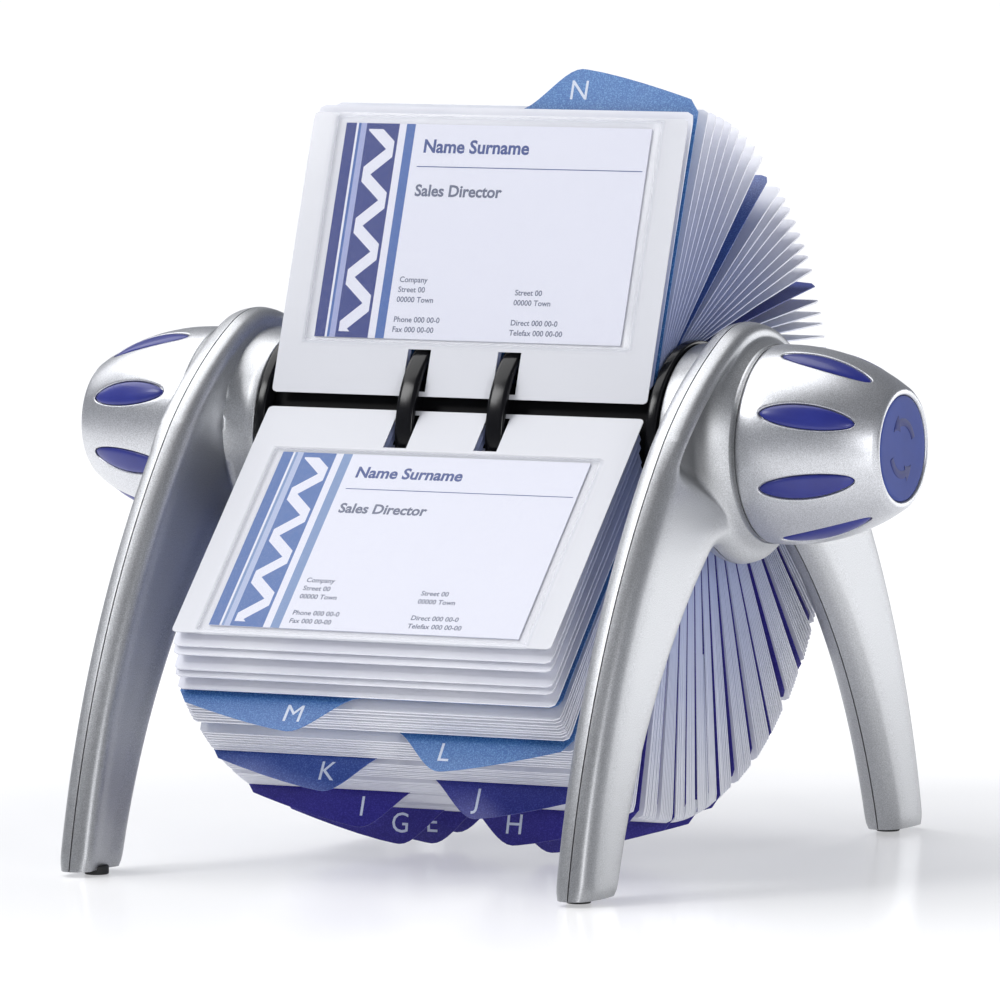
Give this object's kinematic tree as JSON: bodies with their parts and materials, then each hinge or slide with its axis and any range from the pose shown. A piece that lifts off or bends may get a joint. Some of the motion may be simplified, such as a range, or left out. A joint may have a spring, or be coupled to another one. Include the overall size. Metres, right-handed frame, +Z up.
{
  "type": "rotary card file",
  "caption": "Desktop rotary file on two arched side frames: clear card pockets and lettered index dividers hang on a wheel that a knob at each end turns.",
  "frame": {"origin": "centre of the footprint, on the surface the pads rest on", "axes": "+X along the axle to the right, -Y towards the user, +Z up"},
  "size_m": [0.2216, 0.1908, 0.1943],
  "materials": {
    "silver_frame": "fine metallic silver lacquer on moulded plastic, satin",
    "silver_knob": "fine metallic silver lacquer on moulded plastic, satin",
    "blue_grip": "deep blue moulded plastic, soft sheen",
    "pad_rubber": "black, matte",
    "bush_plastic": "natural acetal",
    "axle_steel": "bright drawn bar",
    "hardware_steel": "zinc plated",
    "black_gloss": "black moulded plastic, glossy",
    "clear_film": "clear frosted film, slightly hazy",
    "card_stock": "smooth white card, printed",
    "blue_divider": "translucent frosted blue sheet, light to deep blue along the tab"
  },
  "bodies": {
    "stand": {"left_frame_inner": "silver_frame", "right_frame_inner": "silver_frame", "left_frame_outer": "silver_frame", "right_frame_outer": "silver_frame", "foot_pads": "pad_rubber", "left_bush": "bush_plastic", "right_bush": "bush_plastic"},
    "wheel": {"axle": "axle_steel", "drum": "black_gloss", "left_flange": "black_gloss", "right_flange": "black_gloss", "left_rail": "black_gloss", "right_rail": "black_gloss", "left_spring_washer": "hardware_steel", "right_spring_washer": "hardware_steel", "left_knob": "silver_knob", "right_knob": "silver_knob", "left_knob_grips": "blue_grip", "right_knob_grips": "blue_grip", "left_knob_cap": "blue_grip", "right_knob_cap": "blue_grip", "left_axle_nut": "hardware_steel", "right_axle_nut": "hardware_steel", "bottom_pocket": "clear_film", "divider_a": "blue_divider", "divider_b": "blue_divider", "divider_c": "blue_divider", "divider_d": "blue_divider", "divider_e": "blue_divider", "divider_f": "blue_divider", "divider_g": "blue_divider", "divider_h": "blue_divider", "divider_i": "blue_divider", "divider_j": "blue_divider", "divider_k": "blue_divider", "divider_l": "blue_divider", "divider_m": "blue_divider", "divider_n": "blue_divider", "divider_o": "blue_divider", "divider_p": "blue_divider", "divider_q": "blue_divider", "divider_r": "blue_divider", "divider_s": "blue_divider", "divider_t": "blue_divider", "divider_u": "blue_divider", "divider_v": "blue_divider", "divider_w": "blue_divider", "divider_xy": "blue_divider", "divider_z": "blue_divider", "pockets_n_to_p": "clear_film", "pockets_q_to_s": "clear_film", "pockets_t_to_v": "clear_film", "pockets_w_to_z": "clear_film", "pockets_a_to_c": "clear_film", "pockets_d_to_f": "clear_film", "pockets_g_to_j": "clear_film", "pockets_k_to_m": "clear_film"},
    "top_pocket": {"top_pocket": "clear_film"},
    "top_card": {"top_card": "card_stock"},
    "bottom_card": {"bottom_card": "card_stock"}
  },
  "joints": [
    {"name": "wheel_spin", "type": "hinge", "parent": "stand", "child": "wheel", "pos_m": [0, 0, 0.104], "axis": [1, 0, 0], "continuous": true},
    {"name": "pocket_flip", "type": "hinge", "parent": "wheel", "child": "top_pocket", "pos_m": [0, -0.02153, 0.11427], "axis": [1, 0, 0], "range_deg": [0, 153]},
    {"name": "top_card_slide", "type": "slide", "parent": "top_pocket", "child": "top_card", "axis": [0, 0.3156, 0.9489], "range_m": [0, 0.056]},
    {"name": "bottom_card_slide", "type": "slide", "parent": "wheel", "child": "bottom_card", "axis": [0, -0.6934, -0.7206], "range_m": [0, 0.056]}
  ]
}
